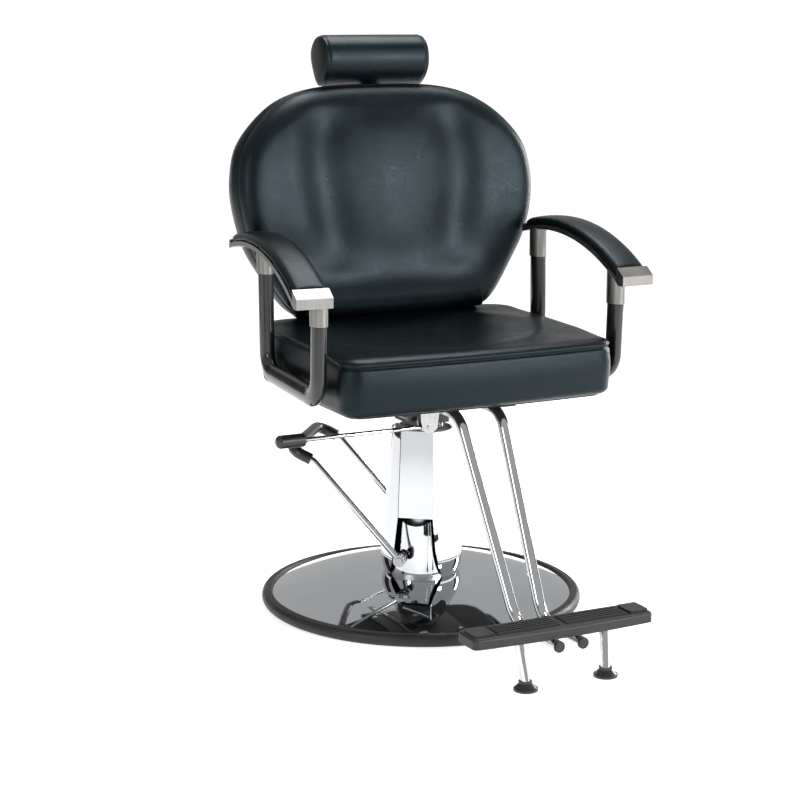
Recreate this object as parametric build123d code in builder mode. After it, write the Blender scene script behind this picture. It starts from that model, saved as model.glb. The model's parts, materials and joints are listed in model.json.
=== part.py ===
from build123d import *
import math
import os

# A hydraulic barber chair. The origin is on the floor, on the column's axis.
# The sitter faces -Y, so "left" is +X. Lengths are in millimetres.

# ---- Driving dimensions ----
BASE_RADIUS = 300.0
DOME_TOP = 56.0          # height of the flat land that the pump stands on
DOME_SHEET = 2.5
LAND_RADIUS = 80.0

FLANGE_RADIUS = 67.5
FLANGE_THICKNESS = 6.0
FLANGE_BOLT_RADIUS = 56.0
BLOCK_RADIUS = 48.0
BLOCK_TOP = 116.0
CYLINDER_TOP = 300.0
GLAND_TOP = 322.0
RAM_RADIUS = 22.5
RAM_BORE = 25.0          # radius of the hydraulic cylinder's bore
RUNNING_GAP = 0.05       # radial clearance of every running fit

SHROUD_TOP = 330.0
SHROUD_SHEET = 1.5
SLOT_TOP_HALF = 30.5
SLOT_HALF = 33.0
PLATE_BOTTOM = 168.0

LEVER_AZIMUTH = 52.0     # plan direction of the lever's cross shaft, from +X
LEVER_OFFSET = 21.0      # shaft's distance from the column axis
LEVER_HEIGHT = 99.0
LEVER_HALF_WIDTH = 102.5
LEVER_RISE = 48.2        # slope of the legs at rest
LEVER_LENGTH = 242.0
GRIP_RISE = 24.5
GRIP_REACH = 46.0
LEVER_ROD = 6.0
SHAFT_RADIUS = 6.0

PLATE_Z = 381.0          # underside of the seat plate
PLATE_THICKNESS = 6.0
RAIL_TOP = 410.0
RAIL_INNER = 84.0
RAIL_OUTER = 114.0
BOARD_THICKNESS = 14.0

SEAT_HALF_WIDTH = 268.0
SEAT_FRONT = -250.0
SEAT_REAR = 175.0
SEAT_TOP = 522.0

HINGE_Y = 196.0
HINGE_Z = 425.0
HINGE_SHAFT = 8.0
CRANK_RADIUS = 56.0
RECLINE_TRAVEL = 40.0

BACK_BOTTOM = 526.0
BACK_TOP = 950.0
BACK_REAR_SLOPE = 0.065  # rearward run of the back's rear face per unit of height
BACK_REAR_Y = 181.7      # rear face at BACK_BOTTOM

ARM_TOE = 2.65           # the arms close in towards the rear by this angle
ARM_X = 286.1            # arm plane's distance from the centre at Y = 0
TUBE_LONG = 19.0         # half axes of the arm's oval tube
TUBE_SHORT = 13.0
ARM_FRONT = -193.0
ARM_REAR = 66.0
SHELL_CENTRE = (11.7, 304.4)
SHELL_RADIUS = 377.0
SHELL_DEPTH = 8.0
PAD_DEPTH = 13.0

FOOT_TUBE = 10.0
TREAD_Z = 80.0
TREAD_HALF = 172.5
TREAD_FRONT = -530.0
TREAD_REAR = -464.0

GAS_X = -62.0
GAS_Z = 370.7
ROD_Y = -95.0
ROD_Z = 352.0
ROD_PIVOT_X = -37.0

os.makedirs("parts", exist_ok=True)


def keep(builder, name):
    """Label a finished sub-part and write it."""
    builder.part.label = name
    export_step(builder.part, f"parts/{name}.step")
    return builder.part


def turned(degrees):
    """Sine and cosine of an angle in degrees."""
    return math.sin(math.radians(degrees)), math.cos(math.radians(degrees))


SHAFT_SIN, SHAFT_COS = turned(LEVER_AZIMUTH)
SHAFT_DIR = (SHAFT_COS, SHAFT_SIN, 0)


def lever_point(along, out, height):
    """A point given along the lever's shaft, out from the column, and up."""
    x = along * SHAFT_COS - out * SHAFT_SIN
    y = along * SHAFT_SIN + out * SHAFT_COS
    return (x, y, height)


def shaft_plane(along):
    """Plane square to the lever's shaft, with its origin on the shaft."""
    origin = lever_point(along, LEVER_OFFSET, LEVER_HEIGHT)
    return Plane(origin=origin, x_dir=(-SHAFT_SIN, SHAFT_COS, 0), z_dir=SHAFT_DIR)


def slot_plane():
    """Plane through the column axis, square to the lever's shaft."""
    return Plane(origin=(0, 0, 0), x_dir=(-SHAFT_SIN, SHAFT_COS, 0), z_dir=SHAFT_DIR)


def arm_plane(across=0.0):
    """Left arm's plane: local x runs rearwards along the arm, local y is up."""
    toe_sin, toe_cos = turned(ARM_TOE)
    origin = (ARM_X + across * toe_cos, across * toe_sin, 0)
    return Plane(origin=origin, x_dir=(-toe_sin, toe_cos, 0), z_dir=(toe_cos, toe_sin, 0))


def rear_y(height):
    """Y of the backrest's rear face at a height."""
    return BACK_REAR_Y + BACK_REAR_SLOPE * (height - BACK_BOTTOM)


def rear_plane(height):
    """Plane on the backrest's rear face, looking rearwards, local y up."""
    length = math.hypot(1, BACK_REAR_SLOPE)
    normal = (0, 1 / length, -BACK_REAR_SLOPE / length)
    return Plane(origin=(0, rear_y(height), height), x_dir=(-1, 0, 0), z_dir=normal)


# ---- Base ----
def make_base_dome():
    with BuildPart() as dome:
        with BuildSketch(Plane.XZ):
            with BuildLine():
                Line((30, DOME_TOP), (LAND_RADIUS, DOME_TOP))
                ThreePointArc((LAND_RADIUS, DOME_TOP), (190, 46), (289, 15))
                Line((289, 15), (289, 15 - DOME_SHEET))
                ThreePointArc((289, 15 - DOME_SHEET), (190, 46 - DOME_SHEET),
                              (LAND_RADIUS, DOME_TOP - DOME_SHEET))
                Line((LAND_RADIUS, DOME_TOP - DOME_SHEET), (30, DOME_TOP - DOME_SHEET))
                Line((30, DOME_TOP - DOME_SHEET), (30, DOME_TOP))
            make_face()
        revolve(axis=Axis.Z)
        with Locations((0, 0, DOME_TOP)):
            with PolarLocations(FLANGE_BOLT_RADIUS, 4, start_angle=LEVER_AZIMUTH + 22):
                Hole(radius=5.2, depth=20)
    return keep(dome, "base_dome")


def make_edge_ring(dome):
    with BuildPart() as ring:
        with BuildSketch(Plane.XZ):
            with BuildLine():
                Line((279, 0), (294, 0))
                ThreePointArc((294, 0), (BASE_RADIUS, 10.5), (293, 21))
                Line((293, 21), (283, 22))
                Line((283, 22), (280, 18))
                Line((280, 18), (279, 0))
            make_face()
        revolve(axis=Axis.Z)
        add(dome, mode=Mode.SUBTRACT)
    return keep(ring, "base_edge_ring")


def make_stiffener():
    top = DOME_TOP - DOME_SHEET
    with BuildPart() as stiffener:
        with BuildSketch(Plane.XY.offset(top)):
            Circle(LAND_RADIUS)
            Circle(30, mode=Mode.SUBTRACT)
            with PolarLocations(FLANGE_BOLT_RADIUS, 4, start_angle=LEVER_AZIMUTH + 22):
                Circle(5.2, mode=Mode.SUBTRACT)
        extrude(amount=-8)
    return keep(stiffener, "base_stiffener")


def make_flange():
    with BuildPart() as flange:
        with BuildSketch(Plane.XY.offset(DOME_TOP)):
            Circle(FLANGE_RADIUS)
            with PolarLocations(FLANGE_BOLT_RADIUS, 4, start_angle=LEVER_AZIMUTH + 22):
                Circle(5.2, mode=Mode.SUBTRACT)
        extrude(amount=FLANGE_THICKNESS)
        fillet(flange.edges().filter_by(GeomType.CIRCLE).sort_by(SortBy.RADIUS)[-1:], 1.5)
    return keep(flange, "pump_flange")


def make_flange_bolts():
    head_z = DOME_TOP + FLANGE_THICKNESS
    with BuildPart() as bolts:
        with BuildSketch(Plane.XY.offset(head_z)):
            with PolarLocations(FLANGE_BOLT_RADIUS, 4, start_angle=LEVER_AZIMUTH + 22):
                RegularPolygon(radius=8, side_count=6)
        extrude(amount=4)
        with BuildSketch(Plane.XY.offset(head_z)):
            with PolarLocations(FLANGE_BOLT_RADIUS, 4, start_angle=LEVER_AZIMUTH + 22):
                Circle(5)
        extrude(amount=-26)
        with BuildSketch(Plane.XY.offset(DOME_TOP - DOME_SHEET - 8)):
            with PolarLocations(FLANGE_BOLT_RADIUS, 4, start_angle=LEVER_AZIMUTH + 22):
                RegularPolygon(radius=8, side_count=6)
        extrude(amount=-7)
    return keep(bolts, "flange_bolts")


# ---- Pump ----
def make_pump_block():
    with BuildPart() as block:
        with BuildSketch(Plane.XY.offset(DOME_TOP + FLANGE_THICKNESS)):
            Circle(BLOCK_RADIUS - 4)
        extrude(amount=BLOCK_TOP - DOME_TOP - FLANGE_THICKNESS)
        with BuildSketch(shaft_plane(-80)):
            Circle(SHAFT_RADIUS + 2)
        extrude(amount=160, mode=Mode.SUBTRACT)
    return keep(block, "pump_block")


def make_shaft_bushes():
    with BuildPart() as bushes:
        for start in (-38, 24):
            with BuildSketch(shaft_plane(start)):
                Circle(SHAFT_RADIUS + 2)
                Circle(SHAFT_RADIUS + RUNNING_GAP, mode=Mode.SUBTRACT)
            extrude(amount=14)
    return keep(bushes, "shaft_bushes")


def make_reservoir():
    with BuildPart() as reservoir:
        with BuildSketch(Plane.XY.offset(BLOCK_TOP)):
            Circle(BLOCK_RADIUS - 6)
            Circle(BLOCK_RADIUS - 9, mode=Mode.SUBTRACT)
        extrude(amount=CYLINDER_TOP - BLOCK_TOP)
    return keep(reservoir, "pump_reservoir")


def make_cylinder():
    with BuildPart() as cylinder:
        with BuildSketch(Plane.XY.offset(BLOCK_TOP)):
            Circle(RAM_BORE + 6)
            Circle(RAM_BORE, mode=Mode.SUBTRACT)
        extrude(amount=CYLINDER_TOP - BLOCK_TOP)
    return keep(cylinder, "pump_cylinder")


def make_gland(shroud, plates):
    """Gland nut with a top disc that carries the column cover's upper edge."""
    with BuildPart() as gland:
        with BuildSketch(Plane.XY.offset(CYLINDER_TOP)):
            Circle(BLOCK_RADIUS - 6)
        extrude(amount=GLAND_TOP - CYLINDER_TOP)
        with BuildSketch(Plane.XY.offset(GLAND_TOP - 5)):
            Circle(57)
            Rectangle(89, 120, rotation=LEVER_AZIMUTH, mode=Mode.INTERSECT)
        extrude(amount=5)
        with BuildSketch(Plane.XY.offset(CYLINDER_TOP)):
            Circle(RAM_RADIUS + RUNNING_GAP)
        extrude(amount=GLAND_TOP - CYLINDER_TOP, mode=Mode.SUBTRACT)
        add(shroud, mode=Mode.SUBTRACT)
        add(plates, mode=Mode.SUBTRACT)
    return keep(gland, "pump_gland")


def shroud_curve(inset):
    """The column cover's outline from its foot to its top, moved inwards."""
    return [(69.5 - inset, DOME_TOP), (75 - inset, 76), (75.6 - inset, 100),
            (70.5 - inset, 160), (62.5 - inset, 250), (57 - inset, SHROUD_TOP)]


def make_shroud():
    """Two chromed half shells, open towards both ends of the lever's shaft."""
    with BuildPart() as shroud:
        with BuildSketch(Plane.XZ):
            with BuildLine():
                outer = Spline(*shroud_curve(0))
                inner = Spline(*shroud_curve(SHROUD_SHEET))
                Line(outer @ 0, inner @ 0)
                Line(outer @ 1, inner @ 1)
            make_face()
        revolve(axis=Axis.Z)
        with BuildSketch(slot_plane()):
            with BuildLine():
                Polyline((-SLOT_TOP_HALF, SHROUD_TOP + 5), (-SLOT_HALF, PLATE_BOTTOM),
                         (-39, 110), (-50, DOME_TOP - 2), (50, DOME_TOP - 2), (39, 110),
                         (SLOT_HALF, PLATE_BOTTOM), (SLOT_TOP_HALF, SHROUD_TOP + 5),
                         close=True)
            make_face()
        extrude(amount=100, both=True, mode=Mode.SUBTRACT)
    return keep(shroud, "column_shroud")


def make_cover_plates():
    """Flat chromed plates that close the two slots of the column cover."""
    lean_top = 45.0
    lean_bottom = 58.5
    edge = 0.6
    with BuildPart() as plates:
        with BuildSketch(slot_plane()):
            with BuildLine():
                Polyline((-SLOT_TOP_HALF + edge, SHROUD_TOP), (-SLOT_HALF + edge, PLATE_BOTTOM),
                         (SLOT_HALF - edge, PLATE_BOTTOM), (SLOT_TOP_HALF - edge, SHROUD_TOP),
                         close=True)
            make_face()
        extrude(amount=90, both=True)
        side = Plane(origin=(0, 0, 0), x_dir=SHAFT_DIR, z_dir=(SHAFT_SIN, -SHAFT_COS, 0))
        with BuildSketch(side):
            for sense in (-1, 1):
                with BuildLine():
                    Polyline((sense * lean_top, SHROUD_TOP), (sense * lean_bottom, PLATE_BOTTOM),
                             (sense * (lean_bottom - SHROUD_SHEET), PLATE_BOTTOM),
                             (sense * (lean_top - SHROUD_SHEET), SHROUD_TOP), close=True)
                make_face()
        extrude(amount=60, both=True, mode=Mode.INTERSECT)
    return keep(plates, "cover_plates")


def make_foot_cover():
    """A chromed cone round the pump's foot, scooped below each flat plate."""
    low = DOME_TOP + FLANGE_THICKNESS
    high = PLATE_BOTTOM - 1
    with BuildPart() as cover:
        with BuildSketch(Plane.XZ):
            with BuildLine():
                Polyline((67.4, low), (60, high), (60 - SHROUD_SHEET, high),
                         (67.4 - SHROUD_SHEET, low), close=True)
            make_face()
        revolve(axis=Axis.Z)
        with BuildSketch(shaft_plane(-100)):
            Circle(SHAFT_RADIUS + 4)
        extrude(amount=200, mode=Mode.SUBTRACT)
        with BuildSketch(slot_plane()):
            with BuildLine():
                ThreePointArc((-34, high + 1), (0, high - 14), (34, high + 1))
                Line((34, high + 1), (-34, high + 1))
            make_face()
        extrude(amount=100, both=True, mode=Mode.SUBTRACT)
    return keep(cover, "foot_cover")


def make_return_spring():
    """Torsion spring round the lever's shaft, against the front eye."""
    start = lever_point(-LEVER_HALF_WIDTH + 8.6, LEVER_OFFSET, LEVER_HEIGHT)
    with BuildPart() as spring:
        with BuildLine():
            coil = Helix(pitch=4, height=14, radius=9.5, center=start, direction=SHAFT_DIR)
        with BuildSketch(Plane(origin=coil @ 0, z_dir=coil % 0)):
            Circle(1.6)
        sweep(is_frenet=True)
    return keep(spring, "return_spring")


# ---- Pump lever ----
def lever_route(start, past_bend=0.0):
    """Corners of the bent rod, from a distance up one leg, or past its bend."""
    leg_sin, leg_cos = turned(LEVER_RISE)
    grip_sin, grip_cos = turned(GRIP_RISE)
    bend = (LEVER_OFFSET + LEVER_LENGTH * leg_cos, LEVER_HEIGHT + LEVER_LENGTH * leg_sin)
    corner = (bend[0] + GRIP_REACH * grip_cos, bend[1] + GRIP_REACH * grip_sin)
    foot = (LEVER_OFFSET + start * leg_cos, LEVER_HEIGHT + start * leg_sin)
    side = [foot, bend, corner]
    if past_bend:
        side = [(bend[0] + past_bend * grip_cos, bend[1] + past_bend * grip_sin), corner]
    front = [lever_point(-LEVER_HALF_WIDTH, out, up) for out, up in side]
    rear = [lever_point(LEVER_HALF_WIDTH, out, up) for out, up in reversed(side)]
    return front + rear


def make_lever_rod():
    with BuildPart() as rod:
        with BuildLine():
            route = FilletPolyline(*lever_route(8), radius=22)
        with BuildSketch(Plane(origin=route @ 0, z_dir=route % 0)):
            Circle(LEVER_ROD)
        sweep()
        for along in (-LEVER_HALF_WIDTH, LEVER_HALF_WIDTH):
            with BuildSketch(shaft_plane(along - 7)):
                Circle(SHAFT_RADIUS)
            extrude(amount=14, mode=Mode.SUBTRACT)
    return keep(rod, "lever_rod")


def make_lever_eyes(rod):
    with BuildPart() as eyes:
        for along in (-LEVER_HALF_WIDTH, LEVER_HALF_WIDTH):
            with BuildSketch(shaft_plane(along - 7)):
                Circle(11)
                Circle(SHAFT_RADIUS, mode=Mode.SUBTRACT)
            extrude(amount=14)
        for start in (-LEVER_HALF_WIDTH - 12, LEVER_HALF_WIDTH + 7):
            with BuildSketch(shaft_plane(start)):
                RegularPolygon(radius=8, side_count=6)
            extrude(amount=5)
        add(rod, mode=Mode.SUBTRACT)
    return keep(eyes, "lever_eyes")


def make_lever_shaft():
    with BuildPart() as shaft:
        with BuildSketch(shaft_plane(-LEVER_HALF_WIDTH - 7)):
            Circle(SHAFT_RADIUS)
        extrude(amount=2 * LEVER_HALF_WIDTH + 14)
    return keep(shaft, "lever_shaft")


def make_lever_grip():
    with BuildPart() as grip:
        with BuildLine():
            route = FilletPolyline(*lever_route(0, 5.0), radius=22)
        with BuildSketch(Plane(origin=route @ 0, z_dir=route % 0)):
            Circle(LEVER_ROD + 4.6)
            Circle(LEVER_ROD, mode=Mode.SUBTRACT)
        sweep()
    return keep(grip, "lever_grip")


# ---- Lifting ram ----
def make_ram():
    with BuildPart() as ram:
        with BuildSketch(Plane.XY.offset(BLOCK_TOP + 2)):
            Circle(RAM_RADIUS)
        extrude(amount=PLATE_Z - 3 - BLOCK_TOP - 2)
        chamfer(ram.edges().group_by(Axis.Z)[-1], 1.5)
    return keep(ram, "ram")


def make_ram_piston():
    with BuildPart() as piston:
        with BuildSketch(Plane.XY.offset(BLOCK_TOP + 2)):
            Circle(RAM_BORE - RUNNING_GAP)
            Circle(RAM_RADIUS, mode=Mode.SUBTRACT)
        extrude(amount=20)
        with BuildSketch(Plane.XY.offset(BLOCK_TOP + 9)):
            Circle(RAM_BORE)
            Circle(RAM_BORE - 1.6, mode=Mode.SUBTRACT)
        extrude(amount=5, mode=Mode.SUBTRACT)
    return keep(piston, "ram_piston")


def make_ram_seal():
    with BuildPart() as seal:
        with BuildSketch(Plane.XY.offset(BLOCK_TOP + 9)):
            Circle(RAM_BORE - 0.02)
            Circle(RAM_BORE - 1.6, mode=Mode.SUBTRACT)
        extrude(amount=5)
    return keep(seal, "ram_seal")


def make_thrust_washer():
    with BuildPart() as washer:
        with BuildSketch(Plane.XY.offset(PLATE_Z - 3)):
            Circle(RAM_RADIUS - 1.6)
        extrude(amount=2.6)
    return keep(washer, "thrust_washer")


# ---- Seat support ----
SEAT_BOLT_SPOTS = [(x, y) for x in (-99, 99) for y in (-85, 120)]


def make_pedestal():
    """Steel block under the seat plate, bored for the ram it turns on."""
    with BuildPart() as pedestal:
        with BuildSketch(Plane.XY.offset(PLATE_Z)):
            Rectangle(80, 78)
        extrude(amount=-38)
        fillet(pedestal.edges().filter_by(Axis.Z), 8)
        with BuildSketch(Plane.XY.offset(PLATE_Z)):
            Circle(32)
        extrude(amount=-46)
        with BuildSketch(Plane.XY.offset(PLATE_Z)):
            Circle(RAM_RADIUS + RUNNING_GAP)
        extrude(amount=-46, mode=Mode.SUBTRACT)
    return keep(pedestal, "seat_pedestal")


def make_seat_plate():
    with BuildPart() as plate:
        with BuildSketch(Plane.XY.offset(PLATE_Z)):
            with Locations((0, 17.5)):
                RectangleRounded(230, 245, 14)
            with Locations(*SEAT_BOLT_SPOTS):
                Circle(4.1, mode=Mode.SUBTRACT)
        extrude(amount=PLATE_THICKNESS)
    return keep(plate, "seat_plate")


def make_seat_rails():
    """Two box rails with the ears that carry the backrest's hinge shaft."""
    low = PLATE_Z + PLATE_THICKNESS
    width = RAIL_OUTER - RAIL_INNER
    height = RAIL_TOP - low
    with BuildPart() as rails:
        with BuildSketch(Plane.XZ.offset(150)):
            with Locations(((RAIL_INNER + RAIL_OUTER) / 2, (low + RAIL_TOP) / 2)):
                Rectangle(width, height)
                Rectangle(width - 5, height - 5, mode=Mode.SUBTRACT)
        extrude(amount=-328)
        with BuildSketch(Plane.YZ.offset(RAIL_OUTER - 6)):
            with BuildLine():
                Polyline((140, low + 0.5), (176, low + 0.5), (HINGE_Y + 12, HINGE_Z - 9),
                         (HINGE_Y, HINGE_Z), (HINGE_Y - 15.5, HINGE_Z - 3),
                         (176.5, RAIL_TOP - 0.5), (140, RAIL_TOP - 0.5), close=True)
            make_face()
            with Locations((HINGE_Y, HINGE_Z)):
                Circle(15.5)
                Circle(HINGE_SHAFT + RUNNING_GAP, mode=Mode.SUBTRACT)
        extrude(amount=6)
        mirror(about=Plane.YZ)
        with BuildSketch(Plane.XY.offset(low - 1)):
            with Locations(*SEAT_BOLT_SPOTS):
                Circle(4.1)
        extrude(amount=height + 2, mode=Mode.SUBTRACT)
    return keep(rails, "seat_rails")


def make_seat_bolts():
    with BuildPart() as bolts:
        with BuildSketch(Plane.XY.offset(PLATE_Z)):
            with Locations(*SEAT_BOLT_SPOTS):
                RegularPolygon(radius=7.5, side_count=6)
        extrude(amount=-5)
        with BuildSketch(Plane.XY.offset(PLATE_Z)):
            with Locations(*SEAT_BOLT_SPOTS):
                Circle(4)
        extrude(amount=RAIL_TOP - PLATE_Z + 10)
    return keep(bolts, "seat_bolts")


def seat_outline(inset):
    """The seat in plan: nearly square, with rounder corners at the rear."""
    right = SEAT_HALF_WIDTH - inset
    front = SEAT_FRONT + inset
    rear = SEAT_REAR - inset
    with BuildSketch(mode=Mode.PRIVATE) as outline:
        with BuildLine():
            edge = ThreePointArc((-right, front + 4), (0, front - 5), (right, front + 4))
            Line(edge @ 1, (right, rear))
            Line((right, rear), (-right, rear))
            Line((-right, rear), edge @ 0)
        make_face()
        fillet(outline.vertices().group_by(Axis.Y)[-1], 62 - inset / 2)
        fillet(outline.vertices().group_by(Axis.Y)[0], 34 - inset / 2)
    return outline.sketch


def make_seat_board(bolts):
    """Plywood base with a block along each side for the arms' bolts."""
    with BuildPart() as board:
        with BuildSketch(Plane.XY.offset(RAIL_TOP)):
            add(seat_outline(18))
            with Locations(*SEAT_BOLT_SPOTS):
                Circle(4.1, mode=Mode.SUBTRACT)
        extrude(amount=BOARD_THICKNESS)
        with BuildSketch(Plane.XY.offset(RAIL_TOP + BOARD_THICKNESS)):
            with Locations((-SEAT_HALF_WIDTH + 32, -60), (SEAT_HALF_WIDTH - 32, -60)):
                Rectangle(28, 220)
        extrude(amount=40)
        add(bolts, mode=Mode.SUBTRACT)
    return keep(board, "seat_board")


def make_seat_cushion(board, bolts, spacers):
    with BuildPart() as cushion:
        with BuildSketch(Plane.XY.offset(RAIL_TOP)):
            add(seat_outline(0))
        extrude(amount=SEAT_TOP - RAIL_TOP)
        fillet(cushion.edges().group_by(Axis.Z)[-1], 16)
        fillet(cushion.edges().group_by(Axis.Z)[0], 10)
        with BuildSketch(Plane.XY.offset(RAIL_TOP)):
            add(seat_outline(18))
        extrude(amount=BOARD_THICKNESS, mode=Mode.SUBTRACT)
        for fitting in (board, bolts, spacers):
            add(fitting, mode=Mode.SUBTRACT)
    return keep(cushion, "seat_cushion")


# ---- Arms ----
BRACKET_SPOTS = (-130.0, 10.0)
BAR_Z = 444.5


def make_arm_tube(name):
    """One length of oval tube bent into a U, open end up."""
    points = [(ARM_FRONT, 582), (ARM_FRONT, 565), (ARM_FRONT + 5, BAR_Z - 3),
              (ARM_REAR - 4, BAR_Z + 5), (ARM_REAR, 620), (ARM_REAR, 638)]
    plane = arm_plane()
    route_points = [plane.from_local_coords(Vector(along, up, 0)) for along, up in points]
    with BuildPart() as tube:
        with BuildLine():
            route = FilletPolyline(*route_points, radius=38)
        with BuildSketch(Plane(origin=route @ 0, x_dir=plane.x_dir, z_dir=route % 0)):
            Ellipse(TUBE_LONG, TUBE_SHORT)
            Ellipse(TUBE_LONG - 2, TUBE_SHORT - 2, mode=Mode.SUBTRACT)
        sweep()
        with BuildSketch(arm_plane(-TUBE_SHORT - 1)):
            with Locations(*[(spot, BAR_Z) for spot in BRACKET_SPOTS]):
                Circle(4.1)
        extrude(amount=TUBE_SHORT, mode=Mode.SUBTRACT)
    return keep(tube, name)


def shell_arc(radius, along):
    """Height of an arc about the armrest's centre of curvature."""
    return SHELL_CENTRE[1] + math.sqrt(radius**2 - (along - SHELL_CENTRE[0])**2)


def armrest_band(low_radius, high_radius, front, rear):
    """Band between two arcs in the arm's plane, cut off square at both ends."""
    middle = (front + rear) / 2
    with BuildSketch(mode=Mode.PRIVATE) as band:
        with BuildLine():
            low = ThreePointArc((front, shell_arc(low_radius, front)),
                                (middle, shell_arc(low_radius, middle)),
                                (rear, shell_arc(low_radius, rear)))
            high = ThreePointArc((front, shell_arc(high_radius, front)),
                                 (middle, shell_arc(high_radius, middle)),
                                 (rear, shell_arc(high_radius, rear)))
            Line(low @ 0, high @ 0)
            Line(low @ 1, high @ 1)
        make_face()
    return band.sketch


def make_armrest_shell(name):
    """Cast armrest frame: arched rail, square front nose and two tube sockets."""
    low = SHELL_RADIUS
    high = SHELL_RADIUS + SHELL_DEPTH
    plane = arm_plane()
    with BuildPart() as shell:
        for along, foot in ((ARM_FRONT, 570), (ARM_REAR, 626)):
            origin = plane.from_local_coords(Vector(along, foot, 0))
            with BuildSketch(Plane(origin=origin, x_dir=plane.x_dir, z_dir=(0, 0, 1))):
                Ellipse(TUBE_LONG + 2, TUBE_SHORT + 2)
            extrude(amount=80)
        with BuildSketch(plane):
            with Locations(SHELL_CENTRE):
                Circle(low + 2)
        extrude(amount=60, both=True, mode=Mode.INTERSECT)
        for along, foot, top in ((ARM_FRONT, 570, 582), (ARM_REAR, 626, 638)):
            origin = plane.from_local_coords(Vector(along, foot, 0))
            with BuildSketch(Plane(origin=origin, x_dir=plane.x_dir, z_dir=(0, 0, 1))):
                Ellipse(TUBE_LONG, TUBE_SHORT)
            extrude(amount=top - foot, mode=Mode.SUBTRACT)
        with BuildSketch(arm_plane(-11.5)):
            add(armrest_band(low, high, -220, 104))
        extrude(amount=66)
        with BuildSketch(arm_plane(-11.5)):
            add(armrest_band(low, high + 15, -231, -211))
        extrude(amount=66)
        with BuildSketch(arm_plane(-11.5)):
            add(armrest_band(low, high + 6, 98, 106))
        extrude(amount=66)
        with BuildSketch(arm_plane(-20)):
            with Locations((-225.5, 590)):
                Rectangle(20, 30)
        extrude(amount=80, mode=Mode.SUBTRACT)
    return keep(shell, name)


def make_armrest_pad(name):
    low = SHELL_RADIUS + SHELL_DEPTH
    with BuildPart() as pad:
        with BuildSketch(arm_plane(-11)):
            add(armrest_band(low, low + PAD_DEPTH, -210.5, 97.5))
        extrude(amount=65)
        long_edges = pad.edges().filter_by(GeomType.CIRCLE).sort_by(SortBy.RADIUS)[-2:]
        fillet(long_edges, 9)
    return keep(pad, name)


def make_arm_bolts():
    """Bolts from inside the seat's side blocks out into the arm tubes."""
    with BuildPart() as bolts:
        with BuildSketch(arm_plane(-TUBE_SHORT + 4)):
            with Locations(*[(spot, BAR_Z) for spot in BRACKET_SPOTS]):
                Circle(4)
        extrude(amount=-64)
        with BuildSketch(arm_plane(-TUBE_SHORT - 60)):
            with Locations(*[(spot, BAR_Z) for spot in BRACKET_SPOTS]):
                RegularPolygon(radius=7, side_count=6)
        extrude(amount=-5)
        mirror(about=Plane.YZ)
    return keep(bolts, "arm_bolts")


def make_arm_spacers(board, bolts):
    """Sleeves that hold the arm tubes off the seat's side blocks."""
    with BuildPart() as spacers:
        with BuildSketch(arm_plane(-TUBE_SHORT)):
            with Locations(*[(spot, BAR_Z) for spot in BRACKET_SPOTS]):
                Circle(11)
        extrude(amount=-50)
        mirror(about=Plane.YZ)
        add(board, mode=Mode.SUBTRACT)
        add(bolts, mode=Mode.SUBTRACT)
    return keep(spacers, "arm_spacers")


def make_mirrored(part, name):
    """The same piece for the other side of the chair."""
    with BuildPart() as other:
        mirror(part, about=Plane.YZ)
    return keep(other, name)


# ---- Footrest ----
TUBE_X = 41.5
TUBE_Z = 398.5
FOOT_ROUTE = [(TUBE_X, -60, TUBE_Z), (TUBE_X, -222, TUBE_Z), (25.6, -405.6, 70), (22.9, -541, 70)]


def make_footrest_tubes():
    with BuildPart() as tubes:
        with BuildLine():
            route = FilletPolyline(*FOOT_ROUTE, radius=55)
        with BuildSketch(Plane(origin=route @ 0, z_dir=route % 0)):
            Circle(FOOT_TUBE)
            Circle(FOOT_TUBE - 1.8, mode=Mode.SUBTRACT)
        sweep()
        mirror(about=Plane.YZ)
    return keep(tubes, "footrest_tubes")


def make_footrest_caps():
    end = Vector(*FOOT_ROUTE[-1])
    heading = end - Vector(*FOOT_ROUTE[-2])
    with BuildPart() as caps:
        with BuildSketch(Plane(origin=end, z_dir=heading)):
            Circle(FOOT_TUBE)
        extrude(amount=5)
        fillet(caps.edges().group_by(Axis.Y)[0], 2.5)
        with BuildSketch(Plane(origin=end, z_dir=heading)):
            Circle(FOOT_TUBE - 1.8)
        extrude(amount=-10)
        mirror(about=Plane.YZ)
    return keep(caps, "footrest_caps")


def make_footrest_clamp():
    low = PLATE_Z + PLATE_THICKNESS
    with BuildPart() as clamp:
        with BuildSketch(Plane.XZ.offset(64)):
            with Locations((0, (low + RAIL_TOP) / 2)):
                Rectangle(126, RAIL_TOP - low)
            with Locations((TUBE_X, TUBE_Z), (-TUBE_X, TUBE_Z)):
                Circle(FOOT_TUBE, mode=Mode.SUBTRACT)
        extrude(amount=34)
    return keep(clamp, "footrest_clamp")


def make_footrest_plate():
    with BuildPart() as plate:
        with BuildSketch(Plane.XY.offset(TREAD_Z)):
            with Locations((0, (TREAD_FRONT + TREAD_REAR) / 2)):
                RectangleRounded(310, 50, 6)
        extrude(amount=4)
    return keep(plate, "footrest_plate")


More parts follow.
